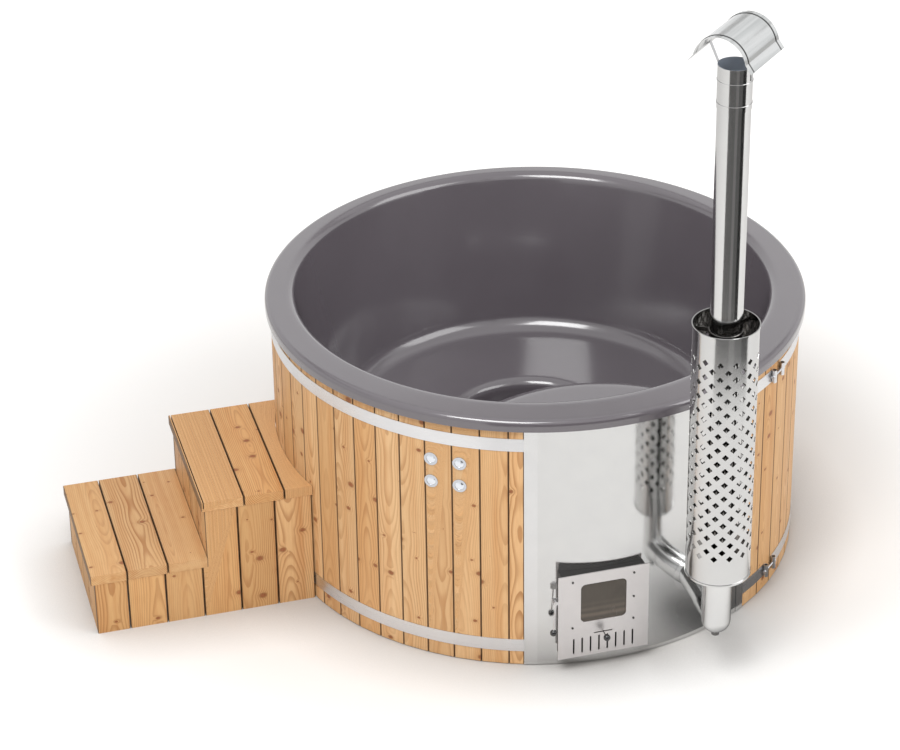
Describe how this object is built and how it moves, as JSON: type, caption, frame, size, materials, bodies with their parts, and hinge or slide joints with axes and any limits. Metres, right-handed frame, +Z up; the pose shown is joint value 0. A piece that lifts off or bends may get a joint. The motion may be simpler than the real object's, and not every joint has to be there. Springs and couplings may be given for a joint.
{
  "type": "wood-fired hot tub",
  "caption": "Round wood-fired hot tub in timber cladding with a moulded shell, a built-in stove with door, a free-standing chimney in a pierced guard and a pair of steps.",
  "frame": {"origin": "on the tub's axis at floor level", "axes": "+Z up, -Y towards the stove door, -X towards the steps"},
  "size_m": [2.7661, 2.4851, 2.5202],
  "materials": {
    "pine_cladding": "oiled, satin",
    "frame_wood": "raw sawn",
    "gelcoat": "glossy",
    "foam": "sprayed, matt",
    "bright_steel": "bright, fine-ground",
    "mirror_steel": "polished",
    "door_steel": "satin",
    "stove_steel": "dark, matt",
    "grate_iron": "raw casting",
    "sealing_cord": "woven, matt",
    "black_ball": "polished",
    "stove_glass": "smoked by the fire",
    "black_plastic": "moulded",
    "button_chrome": "polished"
  },
  "bodies": {
    "tub": {"base_bearers": "frame_wood", "base_board": "frame_wood", "shell_supports": "frame_wood", "frame_posts": "frame_wood", "stave_rings": "frame_wood", "panel_posts": "frame_wood", "tub_shell": "gelcoat", "insulation": "foam", "cladding_staves": "pine_cladding", "hoop_upper": "bright_steel", "hoop_lower": "bright_steel", "hoop_lugs": "bright_steel", "hoop_bolts": "bright_steel", "hoop_nuts": "bright_steel", "steel_panel": "mirror_steel", "panel_trims": "bright_steel", "stove_body": "stove_steel", "fire_grate": "grate_iron", "door_housing": "stove_steel", "door_gasket": "sealing_cord", "hinge_brackets": "bright_steel", "hinge_pins": "bright_steel", "latch_bracket": "bright_steel", "flue_outlet": "mirror_steel", "flue_rosette": "mirror_steel", "flue_tee": "mirror_steel", "tee_plug": "black_plastic", "flue_pipe_lower": "mirror_steel", "flue_pipe_upper": "mirror_steel", "cap_collar": "mirror_steel", "heat_guard": "mirror_steel", "guard_brackets": "bright_steel", "cowl_struts": "bright_steel", "rain_cowl": "mirror_steel", "button_bezels": "button_chrome", "water_pipes": "bright_steel", "water_strainers": "bright_steel", "drain_strainer": "bright_steel", "drain_pipe": "black_plastic", "drain_cap": "black_plastic"},
    "fire_door": {"door_plate": "door_steel", "door_glass": "stove_glass", "glass_frame": "stove_steel", "door_screws": "stove_steel", "door_knuckles": "bright_steel", "slider_rails": "stove_steel"},
    "air_slide": {"air_slider": "stove_steel", "air_knob": "black_ball"},
    "latch": {"latch_lever": "bright_steel", "latch_knob": "black_ball"},
    "button_1": {"push_button_1": "button_chrome"},
    "button_2": {"push_button_2": "button_chrome"},
    "button_3": {"push_button_3": "button_chrome"},
    "button_4": {"push_button_4": "button_chrome"},
    "steps": {"step_tread_lower": "pine_cladding", "step_tread_upper": "pine_cladding", "step_side_boards": "pine_cladding", "step_risers": "pine_cladding", "step_frame": "frame_wood", "step_screws": "bright_steel"}
  },
  "joints": [
    {"name": "door_hinge", "type": "hinge", "parent": "tub", "child": "fire_door", "pos_m": [0.1085, -1.005, 0.23], "axis": [0, 0, 1], "range_deg": [0, 100]},
    {"name": "air_control", "type": "slide", "parent": "fire_door", "child": "air_slide", "axis": [1, 0, 0], "range_m": [-0.03, 0.03]},
    {"name": "latch_turn", "type": "hinge", "parent": "tub", "child": "latch", "pos_m": [-0.232, -1.0193, 0.305], "axis": [0, 1, 0], "range_deg": [0, 80]},
    {"name": "button_1_press", "type": "slide", "parent": "tub", "child": "button_1", "axis": [0.5999, 0.8001, 0], "range_m": [0, 0.003], "stiffness_N_per_m": 900, "springref_m": -0.001},
    {"name": "button_2_press", "type": "slide", "parent": "tub", "child": "button_2", "axis": [0.5152, 0.8571, 0], "range_m": [0, 0.003], "stiffness_N_per_m": 900, "springref_m": -0.001},
    {"name": "button_3_press", "type": "slide", "parent": "tub", "child": "button_3", "axis": [0.5999, 0.8001, 0], "range_m": [0, 0.003], "stiffness_N_per_m": 900, "springref_m": -0.001},
    {"name": "button_4_press", "type": "slide", "parent": "tub", "child": "button_4", "axis": [0.5152, 0.8571, 0], "range_m": [0, 0.003], "stiffness_N_per_m": 900, "springref_m": -0.001},
    {"name": "steps_slide", "type": "slide", "parent": "tub", "child": "steps", "axis": [-1, 0, 0], "range_m": [0, 0.4]}
  ]
}
